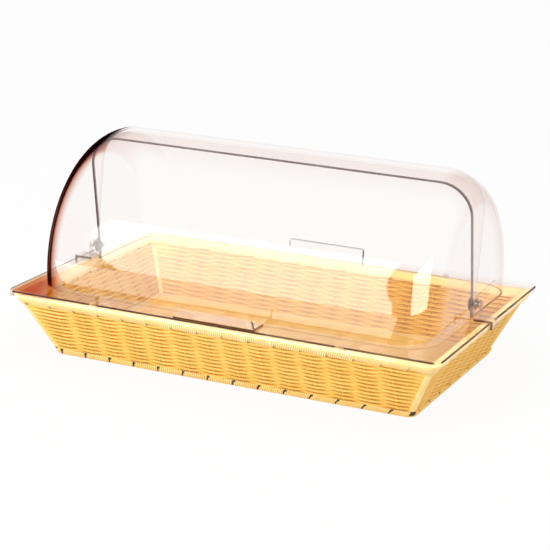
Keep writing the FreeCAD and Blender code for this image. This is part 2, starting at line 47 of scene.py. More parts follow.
# Basket: the borders' outer faces, and the way the walls flare outwards as they rise.
RIM_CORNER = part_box("rim_wrap")[1]
RIM_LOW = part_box("rim_wrap")[0].z
BASE_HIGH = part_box("base_wrap")[1].z
FLARE = 40 * MM
LEAN = FLARE / RIM_CORNER.z
SLOPE_SCALE = math.hypot(1, LEAN)
BORDER_DEPTH = 12 * MM
WALL_INSET = BORDER_DEPTH / 2
BASKET_CORNER = 12 * MM

# Weave: upright stakes with thin round strands in front of and behind them by turns.
STAKE_PITCH = 34 * MM
STRAND_RADIUS = 1.8 * MM
STRAND_SWING = 1.95 * MM
WALL_ROWS = 26
WALL_LOW = 6 * MM
WALL_HIGH = 76 * MM
STEPS_PER_BAY = 8
POST_INSET = 7.757 * MM
STRAND_ROUNDNESS = 2

# Floor: flat weave over stakes that run from the front to the rear.
FLOOR_LOW, FLOOR_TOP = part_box("floor_weave")
FLOOR_REACH = FLOOR_TOP.y
FLOOR_MIDDLE = (FLOOR_LOW.z + FLOOR_TOP.z) / 2
FLOOR_STRAND_RADIUS = 1.4 * MM
FLOOR_SWING = 0.56 * MM
FLOOR_STRANDS = 90
FLOOR_STEPS_PER_BAY = 6
FLOOR_STRAND_ROUNDNESS = 1

# Borders and corner ribs: strands wound closely round a core.
WRAP_PITCH = 2.8 * MM
WRAP_STEPS = 4
WRAP_GROOVE = 0.6 * MM
BORDER_SIDES = 16
SQUARENESS = 0.5
LEAST_BEND = 0.3 * MM
WRAP_SLANT = 1.2 * MM
LACE_STEP = 3.0 * MM
RIB_RADIUS = 4.6 * MM
RIB_SIDES = 14
RIB_WRAPS = 27
RIB_GROOVE = 0.45 * MM

# Lacing gaps: ticks sunk into the borders' outer faces and darkened with painted shadow. From and to are
# shares of a border's height, and darkness is how much of the tick shows, in depth and in painted shadow.
TICK_SHIFT = -9 * MM
TICK_HALF = 1.1 * MM
TICK_SLANT = 0.1
TICK_HOOK = 1.6 * MM
TICK_HOOK_FROM = 0.7
TICK_DEPTH = 1.5 * MM
TICK_FACING = 0.2
TOP_TICK_FROM, TOP_TICK_TO, TOP_TICK_DARKNESS = 0.02, 0.5, 0.52
BASE_TICK_FROM, BASE_TICK_TO, BASE_TICK_DARKNESS = 0.1, 0.93, 1.0
CORNER_TICK_FROM = 0.2
CORNER_TICK_HALF = 0.22

# Cover: two halves spun about the line of the pivot pins.
AXIS_Z = (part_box("pivot_pin_right")[0].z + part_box("pivot_pin_right")[1].z) / 2
SEAT_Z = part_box("front_shell")[0].z
SHELL_WALL = 2.5 * MM
PIN_HOLE = 3.08 * MM
EAR_RADIUS = 10 * MM
FRONT_PAST_TOP = math.radians(7)
REAR_PAST_TOP = math.radians(10)
SHELL_TURN_STEP = math.radians(3)
SHELL_CORNER_STEPS = 12
SHARP_EDGE = math.radians(40)
COVER_CORNER = 48 * MM
FRONT_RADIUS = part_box("front_shell")[1].z - AXIS_Z
COVER_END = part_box("front_shell")[1].x

# Points this close are one point.
SEAM = 0.002 * MM

# Bands of the finishes, each from where its effect is gone to where it is full. Most bound painted shade,
# painted dark lines and painted amber.
CORNER_SHADE = (16 * MM, 7 * MM)
SUNK_BAND = (-0.5 * MM, 1.9 * MM)
NEST_BAND = (0.34, 0.5)
CUT_BAND = 1.6 * MM
LEFT_FADE = (50 * MM, -50 * MM)
END_TURN = (0.05, 0.3)
END_FLAT = (0.995, 0.95)
FRAME_LINE = (2.2 * MM, 1.5 * MM)
FRAME_LINE_FADE = (1 * MM, 6 * MM)
REST_PLACE = 162 * MM
NOTCH_HALF = 7 * MM
NOTCH_BAND = (NOTCH_HALF * 0.6, NOTCH_HALF)
BRACKET_GAP = 0.5 * MM
AMBER_REACH = (290 * MM, 340 * MM)
AMBER_INSET = (2.5 * MM, 4 * MM)
FINE_LINE = (1.2 * MM, 0.6 * MM)
BRACKET_STRIP = (3 * MM, 1.5 * MM)
REAR_GRIP_END = (1.6 * MM, 0.9 * MM)
REAR_GRIP_TOP = (1.4 * MM, 0.8 * MM)
FRONT_GRIP_FOOT = (2.4 * MM, 1.6 * MM)
FRONT_GRIP_REACH = (13 * MM, 11 * MM)
FRONT_GRIP_SIDE = (1.8 * MM, 1.0 * MM)

# Clear sheet: glances run from 0, head on, to 1, along the face.
SHEET_IOR = 1.49
GLASS_IOR = 1.001
SHEET_ROUGHNESS = 0.03
MOST_SHINE = 0.4
OUTSIDE_SHINE = 1.45
INSIDE_SHINE = 0.2
PINK_GLANCE = (0.3, 0.7)
DULL_GLANCE = (0.45, 0.65)
UMBER_GLANCE = (0.6, 0.74)
BROWN_GLANCE = (0.68, 0.86)

# Fine grain: how deep the bump in a strand's face is
STRAND_GRAIN = 0.2 * MM
WRAP_GRAIN = 0.15 * MM

# Studio: the key and the fill light the matt faces.
# The clear sheet mirrors the shine, the card and the strip.
FLOOR_SPREAD = 9
FLOOR_GAP = 0.3 * MM
FLOOR_WHITENING = 0.92
AIR_LIGHT = 0.75
KEY_PLACE = (-0.84, -1.95, 0.76)
KEY_AIM = (-0.84, 0, -0.04)
KEY_SIZE = (1.0, 1.62)
KEY_POWER = 25
KEY_WHITE = (1, 0.985, 0.96)
SHINE_PLACE = (-0.84, -1.93, 0.7516)
SHINE_POWER = 36
CARD_PLACE = (-0.5, -1.3, 0.004)
CARD_AIM = (-0.5, -1.3, 1)
CARD_SIZE = (1.3, 1.85)
CARD_POWER = 26
FILL_PLACE = (2.3, -0.9, 1.0)
FILL_AIM = (0.2, 0, 0.05)
FILL_SIZE = (1.4, 1.4)
FILL_POWER = 11
FILL_GOLD = (1, 0.89, 0.66)
STRIP_PLACE = (1.85, -1.25, 0.65)
STRIP_AIM = (0, 0, 0.1)
STRIP_SIZE = (1.75, 1.3)
STRIP_POWER = 60
STRIP_WHITE = (1, 0.98, 0.95)

# The photographed view, in degrees, metres and pixels of the 550 pixel square picture.
PICTURE = 550
AZIMUTH = 24.03
ELEVATION = 16.106
ROLL = 1.967
CAMERA_DISTANCE = 2.490
CAMERA_TARGET = Vector((-0.004, 0, 0.1045))
FOCAL_PIXELS = 1975
PICTURE_CENTRE = (275.2, 273.9)
SENSOR = 36


def outer_half(z):
    """Half length and half width of the basket's outer faces at a height."""
    inward = LEAN * (RIM_CORNER.z - z)
    return RIM_CORNER.x - inward, RIM_CORNER.y - inward


def outer_reach(axis, z):
    return outer_half(z)[0 if axis == "x" else 1]


def row_pitch():
    """From one row of the walls' weave to the next, measured up the slope."""
    return (WALL_HIGH - WALL_LOW) / WALL_ROWS * SLOPE_SCALE


def tone(red, green, blue):
    """A colour as seen on a screen, 0 to 255, as the linear values that a shader takes."""
    linear = []
    for value in (red, green, blue):
        share = value / 255
        linear.append(share / 12.92 if share <= 0.04045 else ((share + 0.055) / 1.055) ** 2.4)
    return (*linear, 1)


# Colours of the finishes
GOLD = tone(247, 206, 106)
GOLD_DEEP = tone(240, 186, 80)
# Painted shade in the weave's grooves and corners
PAINTED_GROOVE_SHADE = tone(220, 148, 56)
PAINTED_CORNER_SHADE = tone(120, 62, 22)
PALE_CANE = tone(253, 228, 166)
# Painted shade in the grooves between wraps
PALE_GROOVE_SHADE = tone(196, 138, 66)
# Painted shadow in the lacing's gaps
GAP_SHADOW_DARK = tone(52, 34, 18)
STAKE_CANE = tone(232, 172, 84)
STEEL = tone(170, 168, 164)
STEEL_DARK = tone(128, 124, 118)
# Painted dark edge lines of the clear sheet, and the faint own brown of nylon and mouldings
EDGE_SHADE_AND_TONE_BROWN = tone(66, 26, 12)
SHEET_TINT = (1, 0.995, 0.991, 1)
SHEET_SHINE = (1, 0.99, 0.98, 1)
SHEET_PINK = tone(222, 180, 164)
SHEET_UMBER = tone(166, 106, 86)
SHEET_BROWN = tone(84, 42, 30)
SHADE_GOLD = tone(218, 184, 116)
# Painted amber for the golden wall seen through the frame
FRAME_PAINTED_AMBER = tone(226, 150, 56)
WHITE = (1, 1, 1, 1)
FLOOR_GREY = tone(250, 250, 250)


class Value:
    """A number worked out inside a material. Arithmetic on it adds the Math nodes."""

    def __init__(self, finish, socket):
        self.finish = finish
        self.socket = socket

    def __add__(self, other):
        return self.finish.math("ADD", self, other)

    __radd__ = __add__

    def __sub__(self, other):
        return self.finish.math("SUBTRACT", self, other)

    def __rsub__(self, other):
        return self.finish.math("SUBTRACT", other, self)

    def __mul__(self, other):
        return self.finish.math("MULTIPLY", self, other)

    __rmul__ = __mul__

    def __truediv__(self, other):
        return self.finish.math("DIVIDE", self, other)

    def __rtruediv__(self, other):
        return self.finish.math("DIVIDE", other, self)

    def __abs__(self):
        return self.finish.math("ABSOLUTE", self)

    def floor(self):
        return self.finish.math("FLOOR", self)

    def fraction(self):
        return self.finish.math("FRACT", self)

    def larger(self, other):
        return self.finish.math("MAXIMUM", self, other)

    def smaller(self, other):
        return self.finish.math("MINIMUM", self, other)

    def sign(self):
        return self.finish.math("SIGN", self)

    def rise(self, low, high):
        """0 below low, 1 above high, and smooth between them."""
        settings = {"interpolation_type": "SMOOTHSTEP"}
        return self.finish.node("ShaderNodeMapRange", settings, {0: self, 1: low, 2: high})


class Finish:
    """A material, or the studio's air, written node by node."""

    def __init__(self, name, world=False):
        self.holder = bpy.data.worlds.new(name) if world else bpy.data.materials.new(name)
        self.output = "ShaderNodeOutputWorld" if world else "ShaderNodeOutputMaterial"
        self.holder.use_nodes = True
        self.tree = self.holder.node_tree
        self.tree.nodes.clear()

    def node(self, kind, settings=None, values=None, output=0):
        """Adds a node: its settings first, then the values or links of its sockets."""
        node = self.tree.nodes.new(kind)
        for key, setting in (settings or {}).items():
            setattr(node, key, setting)
        for key, value in (values or {}).items():
            if isinstance(value, Value):
                self.tree.links.new(value.socket, node.inputs[key])
            else:
                node.inputs[key].default_value = value
        if node.outputs:
            return Value(self, node.outputs[output])

    def math(self, operation, *numbers):
        return self.node("ShaderNodeMath", {"operation": operation}, dict(enumerate(numbers)))

    def place(self):
        """The piece's own coordinates, as three values and as one vector."""
        vector = self.node("ShaderNodeTexCoord", output="Object")
        return (*self.split(vector), vector)

    def normal(self):
        return self.split(self.node("ShaderNodeNewGeometry", output="Normal"))

    def split(self, vector):
        kind = "ShaderNodeSeparateXYZ"
        return tuple(self.node(kind, values={0: vector}, output=axis) for axis in range(3))

    def join(self, x, y, z):
        return self.node("ShaderNodeCombineXYZ", values={0: x, 1: y, 2: z})

    def mix(self, share, first, second):
        """A colour between two others."""
        settings = {"data_type": "RGBA"}
        return self.node("ShaderNodeMix", settings, {0: share, 6: first, 7: second}, output=2)

    def noise(self, vector, scale, detail=2):
        values = {"Vector": vector, "Scale": scale, "Detail": detail}
        return self.node("ShaderNodeTexNoise", values=values, output="Fac")

    def attribute(self, name):
        return self.node("ShaderNodeAttribute", {"attribute_name": name}, output="Fac")

    def bump(self, height, strength, distance):
        values = {"Height": height, "Strength": strength, "Distance": distance}
        return self.node("ShaderNodeBump", values=values)

    def surface(self, **values):
        named = {key.replace("_", " "): value for key, value in values.items()}
        return self.node("ShaderNodeBsdfPrincipled", values=named)

    def seen_directly(self):
        """1 where the camera or a reflection sees a surface, 0 where it only lights others."""
        kinds = ("Is Camera Ray", "Is Glossy Ray", "Is Transmission Ray")
        camera, mirrored, through_glass = (self.node("ShaderNodeLightPath", output=kind) for kind in kinds)
        return camera.larger(mirrored).larger(through_glass)

    def filter(self, colour):
        """Clear through and through, but for the colour that it takes from what is seen behind."""
        return self.node("ShaderNodeBsdfTransparent", values={"Color": colour})

    def blend(self, share, first, second):
        return self.node("ShaderNodeMixShader", values={0: share, 1: first, 2: second})

    def close(self, shader):
        """The finished material or air, with the shader as its surface."""
        self.node(self.output, values={"Surface": shader})
        return self.holder


def weave_finish(name, across_axis):
    """Golden poly strands: a random tone for each row, fine drawn lines, and painted shade where the rows
    nest, where a strand sinks behind the face, and at the corners.
    """
    finish = Finish(name)
    x, y, z, vector = finish.place()
    nx, ny, nz = finish.normal()
    across, facing = (x, nx) if across_axis == "x" else (y, ny)
    along = y if across_axis == "x" else x
    outward = facing * across.sign()
    depth = (abs(across) - z * LEAN - (outer_reach(across_axis, 0) - WALL_INSET)) / SLOPE_SCALE
    slope = (z + abs(across) * LEAN) / SLOPE_SCALE
    low = (WALL_LOW + (outer_reach(across_axis, WALL_LOW) - WALL_INSET) * LEAN) / SLOPE_SCALE
    row = (slope - low) / row_pitch()
    hidden = (depth * -1) * ((outward - nz * LEAN) / SLOPE_SCALE)
    # Painted shade near the basket's corners, where the rows nest
    to_corner = z * LEAN + outer_reach("y" if across_axis == "x" else "x", 0) - abs(along)
    corner_shade_share = to_corner.rise(*CORNER_SHADE)
    return woven_surface(finish, along, row, across.sign(), hidden, vector, corner_shade_share)


def floor_finish():
    """The floor's strands, in the same golden poly as the walls."""
    finish = Finish("floor_strand_gold")
    x, y, z, vector = finish.place()
    nz = finish.normal()[2]
    row = (y + FLOOR_REACH) / (2 * FLOOR_REACH / FLOOR_STRANDS)
    hidden = (FLOOR_MIDDLE - z) * nz
    return woven_surface(finish, x, row, 1, hidden, vector, 0)


def woven_surface(finish, along, row, side, hidden, vector, corner_shade_share):
    """What walls and floor share: row is counted in strands, and hidden is the depth below the face, which
    sets the painted shade of sunk strands.
    """
    nested_shade = abs(row.fraction() - 0.5).rise(*NEST_BAND)
    sunk = hidden.rise(*SUNK_BAND)
    one_row = {"Vector": finish.join(row.floor(), side, 0)}
    shade = finish.node("ShaderNodeTexWhiteNoise", {"noise_dimensions": "2D"}, one_row)
    patch = finish.noise(vector, 26)
    drawn = finish.noise(finish.join(along * 60, row * 9, 0), 1, 3)
    gold = finish.mix((shade * 0.5 + patch * 0.7 + drawn * 0.3 - 0.35).rise(0, 1), GOLD, GOLD_DEEP)
    # Painted shade: browner where a strand sinks behind the face and where rows nest
    colour = finish.mix((sunk * 0.7 + nested_shade * 0.45).smaller(0.9), gold, PAINTED_GROOVE_SHADE)
    # Painted shade: darker still where rows nest near a corner
    colour = finish.mix(nested_shade * corner_shade_share * 0.7, colour, PAINTED_CORNER_SHADE)
    bump = finish.bump(drawn, 0.12, STRAND_GRAIN)
    roughness = drawn * 0.16 + 0.4
    strand = finish.surface(Base_Color=colour, Roughness=roughness, Normal=bump, Specular_IOR_Level=0.3)
    return finish.close(strand)


def wrapped_finish(name, gold_share):
    """Strands wound round the borders and corner ribs, pale or golden, with painted shade in the grooves
    between wraps and painted shadow in the lacing's gaps.
    """
    finish = Finish(name)
    vector = finish.place()[3]
    crest = finish.attribute("crest")
    gap_shadow = finish.attribute("gap_shadow")
    patch = finish.noise(vector, 34)
    pale = finish.mix(patch.rise(0.3, 0.7) * 0.4 + gold_share, PALE_CANE, GOLD)
    # Painted shade in the grooves between wraps
    wound = finish.mix(crest.rise(0.0, 0.8), PALE_GROOVE_SHADE, pale)
    # Painted shadow in the lacing's gaps
    colour = finish.mix(gap_shadow.rise(0.25, 0.75), wound, GAP_SHADOW_DARK)
    bump = finish.bump(finish.noise(vector, 1400), 0.08, WRAP_GRAIN)
    return finish.close(finish.surface(Base_Color=colour, Roughness=patch * 0.2 + 0.36, Normal=bump))


def stake_finish():
    """Plain cane rods, with the weave's painted shade laid on them in a random grain."""
    finish = Finish("stake_cane")
    vector = finish.place()[3]
    grain = finish.noise(vector, 220, 3)
    colour = finish.mix(grain.rise(0.3, 0.75), STAKE_CANE, PAINTED_GROOVE_SHADE)
    return finish.close(finish.surface(Base_Color=colour, Roughness=grain * 0.2 + 0.45))


def steel_finish():
    """Drawn steel wire."""
    finish = Finish("drawn_steel")
    vector = finish.place()[3]
    drawn = finish.noise(vector, 500, 3)
    colour = finish.mix(drawn, STEEL, STEEL_DARK)
    return finish.close(finish.surface(Base_Color=colour, Metallic=1, Roughness=drawn * 0.2 + 0.3))


def clear_sheet(finish, edge, gloss_share=1.0, smoke=0.1, tint=None, tinted=0.0, glassy=False,
                shading=0.5):
    """Clear moulded sheet, glossy outside, and dark brown by the share of edge, which paints dark edge
    lines on some pieces and gives others their own faint brown.

    It turns brown at a glancing look by the share of smoke, takes the tint by the share tinted, and
    turns the light that falls through it gold by the share of shading. A glassy one is looked through
    as glass is, and the others as a colour filter is.
    """
    shade = finish.node("ShaderNodeLightPath", output="Is Shadow Ray")
    seen = 1 - shade
    outside = 1 - finish.node("ShaderNodeNewGeometry", output="Backfacing")
    glance = finish.node("ShaderNodeLayerWeight", values={"Blend": 0.5}, output="Facing")
    body = finish.filter(SHEET_TINT)
    if glassy:
        values = {"Color": SHEET_TINT, "Roughness": 0.0, "IOR": GLASS_IOR}
        body = finish.blend(shade, finish.node("ShaderNodeBsdfRefraction", values=values), body)
    if tint:
        body = finish.blend(tinted * seen, body, finish.filter(tint))
    body = finish.blend(shade * shading, body, finish.filter(SHADE_GOLD))
    for band, share, colour in ((PINK_GLANCE, smoke, SHEET_PINK),
                                (UMBER_GLANCE, smoke * smoke, SHEET_UMBER),
                                (BROWN_GLANCE, smoke * smoke, SHEET_BROWN)):
        body = finish.blend(glance.rise(*band) * share * seen, body, finish.filter(colour))
    values = {"Color": SHEET_SHINE, "Roughness": SHEET_ROUGHNESS}
    gloss = finish.node("ShaderNodeBsdfAnisotropic", values=values)
    shine = finish.node("ShaderNodeFresnel", values={"IOR": SHEET_IOR})
    dulled = (glance.rise(*DULL_GLANCE) * smoke).smaller(1)
    share = (shine * gloss_share).smaller(MOST_SHINE) * (1 - dulled) * outside * seen * (1 - tinted)
    # Painted shade of the dark edge lines, and also the faint own brown of nylon and mouldings
    dark = finish.surface(Base_Color=EDGE_SHADE_AND_TONE_BROWN, Roughness=0.4, Specular_IOR_Level=0.1)
    return finish.close(finish.blend(edge, finish.blend(share, body, gloss), dark))


def cover_finish(name, gloss_share, past_top, way, cut_share):
    """A cover face: brown where its ends round over, most at the front left in painted shade; a painted
    dark line at its cut.
    """
    finish = Finish(name)
    x, y, z = finish.place()[:3]
    turned_out = abs(finish.normal()[0])
    corner = turned_out.rise(*END_TURN) * turned_out.rise(*END_FLAT)
    left = x.rise(*LEFT_FADE)
    from_cut = y * (way * math.cos(past_top)) + (z - AXIS_Z) * math.sin(past_top)
    bend = abs(x).rise(COVER_END - COVER_CORNER, COVER_END - COVER_CORNER / 2)
    # Painted dark line along the cut
    near_cut = (from_cut - bend * CUT_BAND).rise(CUT_BAND, 0)
    # Painted shade: the front half's left end is browner than the rest
    front_left_shade = left * (1.0 if way < 0 else 0.1)
    return clear_sheet(finish, near_cut * cut_share, gloss_share, corner * (front_left_shade + 0.1) + 0.06)


def cut_edge_finish(name, share):
    """The sheet's cut edge, painted dark brown for the look it has where it gathers the light."""
    finish = Finish(name)
    vector = finish.place()[3]
    streak = finish.noise(vector, 90)
    return clear_sheet(finish, (streak * 0.2 + 0.85) * share)


def frame_finish():
    """The clear frame: painted dark line where it turns down, fainter at rests and brackets; painted amber
    front left.
    """
    finish = Finish("frame_clear_sheet")
    x, y, z, vector = finish.place()
    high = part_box("cover_frame")[1]
    inset = (high.x - abs(x)).smaller(high.y - abs(y))
    # Painted dark line where the frame turns down
    line = (high.z - z).larger(inset).rise(*FRAME_LINE) * (high.y - y).rise(*FRAME_LINE_FADE)
    off_rest = abs(abs(x) - REST_PLACE).rise(*NOTCH_BAND)
    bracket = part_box("pivot_bracket_right")[1].y
    off_bracket = abs(y).rise(bracket - BRACKET_GAP, bracket + BRACKET_GAP)
    streak = finish.noise(vector, 14)
    edge = line * (streak * 0.5 + 0.65) * (off_rest * 0.75 + 0.25) * (off_bracket * 0.9 + 0.1)
    # Painted amber: the golden wall as seen through the flange at the front left
    painted_amber = (x * -1 - y * 0.5).rise(*AMBER_REACH) * inset.rise(*AMBER_INSET) * 0.8
    return clear_sheet(finish, edge.smaller(1), tint=FRAME_PAINTED_AMBER, tinted=painted_amber, glassy=True, shading=0.25)


def moulding_finish():
    """Small clear mouldings: washers and pads."""
    finish = Finish("moulding_clear")
    vector = finish.place()[3]
    haze = finish.noise(vector, 60)
    return clear_sheet(finish, haze * 0.05, smoke=0.15, tint=SHEET_PINK, tinted=haze * 0.3)


def bracket_finish():
    """The pivot brackets: clear, with a painted dark line along their strip's front edge."""
    finish = Finish("bracket_clear")
    y, z, vector = finish.place()[1:]
    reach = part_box("pivot_bracket_right")[1].y
    strip = (z - SEAT_Z).rise(*BRACKET_STRIP)
    # Painted dark lines along the front edge and, fainter, the rear edge
    front = (y + reach).rise(*FINE_LINE) * (strip * 0.8 + 0.1)
    rear = (reach - y).rise(*FINE_LINE) * 0.2
    haze = finish.noise(vector, 60)
    return clear_sheet(finish, front.larger(rear) * (haze * 0.2 + 0.75), smoke=0.15)


def rear_grip_finish():
    """The rear grip: clear, outlined by painted dark lines at its edges, most darkly at its right end."""
    finish = Finish("rear_grip_clear")
    x, y, z, vector = finish.place()
    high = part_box("rear_grip")[1]
    # Painted dark lines at the grip's ends and top
    end = (high.x - abs(x)).rise(*REAR_GRIP_END) * (x.sign() * 0.25 + 0.5)
    top = (high.z - z).rise(*REAR_GRIP_TOP) * 0.35
    haze = finish.noise(vector, 60)
    edge = end.larger(top) * (haze * 0.3 + 0.8)
    return clear_sheet(finish, edge, gloss_share=0.3, smoke=0.05, glassy=True)


def front_grip_finish():
    """The front grip: clear, with a painted dark line at its lower front edge and a fainter one at its
    right end.
    """
    finish = Finish("front_grip_clear")
    x, y, z, vector = finish.place()
    low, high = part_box("front_grip")
    # Painted dark lines at the foot and the right end
    foot = (z - low.z).rise(*FRONT_GRIP_FOOT) * (y - low.y).rise(*FRONT_GRIP_REACH)
    side = (high.x - x).rise(*FRONT_GRIP_SIDE)
    haze = finish.noise(vector, 60)
    edge = foot.larger(side * 0.6) * (haze * 0.2 + 0.85)
    return clear_sheet(finish, edge, gloss_share=0.9, glassy=True)


def pivot_finish():
    """Faintly brown translucent nylon of the pins and caps."""
    finish = Finish("pivot_nylon")
    vector = finish.place()[3]
    mottle = finish.noise(vector, 300)
    return clear_sheet(finish, mottle * 0.16 + 0.02, smoke=0.35)


def add_piece(name, mesh, finishes, body, nodes):
    """Puts a finished mesh into the scene, in place of its CAD nodes."""
    piece = bpy.data.objects.new(name, mesh)
    bpy.context.scene.collection.objects.link(piece)
    if not mesh.materials:
        for finish in finishes:
            mesh.materials.append(finish)
    mesh.shade_smooth()
    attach(piece, body)
    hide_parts(*nodes)


def mesh_from(name, shape):
    """A bmesh's mesh, with its seams merged and its faces outwards."""
    bmesh.ops.remove_doubles(shape, verts=shape.verts, dist=SEAM)
    bmesh.ops.recalc_face_normals(shape, faces=shape.faces)
    mesh = bpy.data.meshes.new(name)
    shape.to_mesh(mesh)
    shape.free()
    return mesh


def settle(carrier):
    """The mesh of an object with its bevel and modifiers made permanent. The carrier goes."""
    bpy.context.scene.collection.objects.link(carrier)
    bpy.context.view_layer.update()
    evaluated = carrier.evaluated_get(bpy.context.evaluated_depsgraph_get())
    mesh = bpy.data.meshes.new_from_object(evaluated)
    bpy.data.objects.remove(carrier)
    return mesh


def strand_mesh(name, routes, radius, roundness):
    """Round strands along their routes."""
    line = bpy.data.curves.new(name, "CURVE")
    line.dimensions = "3D"
    line.twist_mode = "Z_UP"
    line.bevel_depth = radius
    line.bevel_resolution = roundness
    line.use_fill_caps = True
    for route in routes:
        spline = line.splines.new("POLY")
        spline.points.add(len(route) - 1)
        for point, place in zip(spline.points, route):
            point.co = (*place, 1)
    return settle(bpy.data.objects.new(name, line))


def stake_places(half_length):
    """Where the stakes stand along a run, half a pitch either side of its middle and outwards."""
    count = 2 * math.floor(half_length / STAKE_PITCH + 0.5)
    return [(n - (count - 1) / 2) * STAKE_PITCH for n in range(count)]


def swing_steps(half_length, stakes, steps):
    """Places along a strand with its share of the swing there: full at each stake, none at the ends."""
    places = []
    first, last = stakes[0], stakes[-1]
    for n in range(steps):
        share = n / steps
        places.append((-half_length + share * (first + half_length), math.sin(share * math.pi / 2)))
    bays = len(stakes) - 1
    for n in range(bays * steps + 1):
        share = n / steps
        places.append((first + share * STAKE_PITCH, math.cos(share * math.pi)))
    ending = places[-1][1]
    for n in range(1, steps + 1):
        share = n / steps
        places.append((last + share * (half_length - last), ending * math.cos(share * math.pi / 2)))
    return places


def wall_weave(side, outward, finish):
    """One wall: rows of strands that pass in front of a stake and behind the next."""
    out = Vector((*outward, 0))
    along = Vector((-outward[1], outward[0], 0))
    proud = (out - Vector((0, 0, LEAN))) / SLOPE_SCALE
    axis, run_axis = ("x", "y") if outward[0] else ("y", "x")
    stakes = stake_places(outer_reach(run_axis, WALL_LOW) - BORDER_DEPTH)
    routes = []
    for row in range(WALL_ROWS):
        z = WALL_LOW + (row + 0.5) * (WALL_HIGH - WALL_LOW) / WALL_ROWS
        half_length = outer_reach(run_axis, z) - POST_INSET
        middle = out * (outer_reach(axis, z) - WALL_INSET) + Vector((0, 0, z))
        swing = STRAND_SWING if row % 2 else -STRAND_SWING
        places = swing_steps(half_length, stakes, STEPS_PER_BAY)
        routes.append([middle + along * x + proud * swing * share for x, share in places])
    mesh = strand_mesh(side + "_wall_strands", routes, STRAND_RADIUS, STRAND_ROUNDNESS)
    add_piece(side + "_wall_strands", mesh, [finish], "basket", [side + "_weave"])


def floor_weave(finish):
    """The floor: strands along its length over and under the stakes."""
    half_length = FLOOR_TOP.x
    stakes = stake_places(half_length)
    routes = []
    for row in range(FLOOR_STRANDS):
        y = -FLOOR_REACH + (row + 0.5) * 2 * FLOOR_REACH / FLOOR_STRANDS
        swing = FLOOR_SWING if row % 2 else -FLOOR_SWING
        places = swing_steps(half_length, stakes, FLOOR_STEPS_PER_BAY)
        routes.append([Vector((x, y, FLOOR_MIDDLE + swing * share)) for x, share in places])
    mesh = strand_mesh("floor_strands", routes, FLOOR_STRAND_RADIUS, FLOOR_STRAND_ROUNDNESS)
    add_piece("floor_strands", mesh, [finish], "basket", ["floor_weave"])


def round_basket(distance, inset, z, middle_z):
    """A point so far round the basket and so far in from its outer faces, with its place on its side."""
    reference = [reach - BASKET_CORNER for reach in outer_half(middle_z)]
    straight = [reach - BASKET_CORNER for reach in outer_half(z)]
    bend = BASKET_CORNER * math.pi / 2
    radius = max(BASKET_CORNER - inset, LEAST_BEND)
    for quarter in range(4):
        long_way = quarter % 2
        run = 2 * reference[long_way]
        out = straight[1 - long_way] + BASKET_CORNER - inset
        if distance <= run:
            along, bend_share = straight[long_way] * (2 * distance / run - 1), 0
            place = Vector((along, -out, z))
            break
        distance -= run
        if distance <= bend or quarter == 3:
            along, bend_share = None, distance / bend
            angle = bend_share * math.pi / 2
            place = Vector((straight[long_way] + radius * math.sin(angle),
                            -straight[1 - long_way] - radius * math.cos(angle), z))
            break
        distance -= bend
    return Matrix.Rotation(quarter * math.pi / 2, 3, "Z") @ place, along, bend_share


def squared(value):
    """Sine or cosine drawn out towards a rounded square's side."""
    return math.copysign(abs(value) ** SQUARENESS, value)


def sleeve(shape, along, around, place):
    """Rolls a sheet of cells into a sleeve. place gives each point, its crest and its painted gap shadow.
    """
    crest = shape.verts.layers.float.get("crest") or shape.verts.layers.float.new("crest")
    gap_shadow = shape.verts.layers.float.get("gap_shadow") or shape.verts.layers.float.new("gap_shadow")
    sheet = bmesh.ops.create_grid(shape, x_segments=along, y_segments=around, size=0.5)
    for point in sheet["verts"]:
        point.co, point[crest], point[gap_shadow] = place(point.co.x + 0.5, point.co.y + 0.5)


def wrap_crest(share_of_wrap):
    """0 in the groove between two wraps, 1 on top of one."""
    return math.sqrt(abs(math.sin(share_of_wrap * math.pi)))


